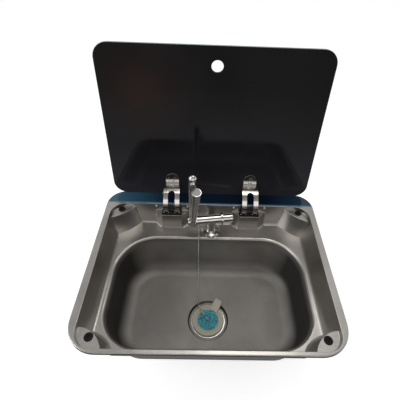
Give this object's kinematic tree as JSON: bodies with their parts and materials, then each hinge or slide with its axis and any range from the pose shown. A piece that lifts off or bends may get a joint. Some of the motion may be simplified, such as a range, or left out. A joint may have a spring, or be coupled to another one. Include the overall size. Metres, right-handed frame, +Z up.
{
  "type": "caravan sink with glass lid and folding tap",
  "caption": "Drop-in pressed steel sink with a rounded bowl, a hinged dark glass lid, a folding tap with lever, and a plug on a bead chain over a strainer waste.",
  "frame": {"origin": "centre of the rim, on the worktop's top face where the rim seal sits", "axes": "+Z up out of the worktop, -Y towards the user, X along the sink's length"},
  "size_m": [0.42, 0.3574, 0.4973],
  "materials": {
    "brushed_stainless": "satin pressed stainless steel",
    "seal_rubber": "black rubber",
    "blue_film": "thin blue protective film",
    "black_glass": "black back-painted tempered glass",
    "polished_hinge": "polished steel",
    "cushion_rubber": "clear-black rubber",
    "zinc_steel": "zinc-plated steel",
    "washer_plastic": "acetal",
    "tap_chrome": "chrome plate",
    "lever_cap_grey": "satin grey disc",
    "outlet_mesh": "moulded outlet mesh",
    "cartridge_brass": "turned brass",
    "ring_rubber": "black rubber",
    "waste_stainless": "pressed stainless steel",
    "waste_plastic": "white polypropylene",
    "plug_cream": "cream moulded plug",
    "teal_film": "thin crinkled film"
  },
  "bodies": {
    "sink": {"sink_pan": "brushed_stainless", "rim_seal": "seal_rubber", "corner_grommets": "seal_rubber", "slot_insert_left": "seal_rubber", "slot_insert_right": "seal_rubber", "rim_film": "blue_film", "hinge_bracket_left": "zinc_steel", "hinge_bracket_right": "zinc_steel", "hinge_pin_left": "zinc_steel", "hinge_pin_right": "zinc_steel", "wall_screws": "zinc_steel", "wall_nuts": "zinc_steel", "tap_steel_washer": "zinc_steel", "waste_screw": "zinc_steel", "friction_washers_left": "washer_plastic", "friction_washers_right": "washer_plastic", "tap_body": "tap_chrome", "barrel_collar": "tap_chrome", "barrel_end_knob": "tap_chrome", "chain_anchor": "tap_chrome", "tap_flange": "tap_chrome", "plug_chain": "tap_chrome", "tap_back_nut": "cartridge_brass", "spout_o_rings": "ring_rubber", "tap_gasket": "ring_rubber", "tap_rubber_washer": "ring_rubber", "waste_gasket": "ring_rubber", "waste_flange": "waste_stainless", "waste_cup": "waste_plastic"},
    "lid": {"lid_glass": "black_glass", "hinge_arm_left": "polished_hinge", "hinge_arm_right": "polished_hinge", "glass_cushion_left": "cushion_rubber", "glass_cushion_right": "cushion_rubber", "lid_screws": "polished_hinge", "lid_cap_nuts": "polished_hinge"},
    "spout": {"spout": "tap_chrome", "aerator": "outlet_mesh", "cartridge": "cartridge_brass"},
    "lever": {"lever": "tap_chrome", "lever_cap": "lever_cap_grey"},
    "plug": {"plug": "plug_cream", "plug_film": "teal_film", "plug_eye": "tap_chrome"}
  },
  "joints": [
    {"name": "lid_hinge", "type": "hinge", "parent": "sink", "child": "lid", "pos_m": [0, 0.1468, 0], "axis": [1, 0, 0], "range_deg": [0, 97.4]},
    {"name": "spout_fold", "type": "hinge", "parent": "sink", "child": "spout", "pos_m": [0.002, 0.099, -0.0085], "axis": [0.9903, 0.1392, 0], "range_deg": [0, 82]},
    {"name": "lever_tilt", "type": "hinge", "parent": "spout", "child": "lever", "pos_m": [-0.0329, 0.08147, 0.0125], "axis": [0.9903, 0.1392, 0], "range_deg": [0, 20]},
    {"name": "plug_lift", "type": "slide", "parent": "sink", "child": "plug", "axis": [0, 0, 1], "range_m": [0, 0.03], "deforming": ["plug_chain"]}
  ],
  "couplings": [
    {"joint": "spout_fold", "follows": "lid_hinge", "ratio": 0.84188}
  ]
}
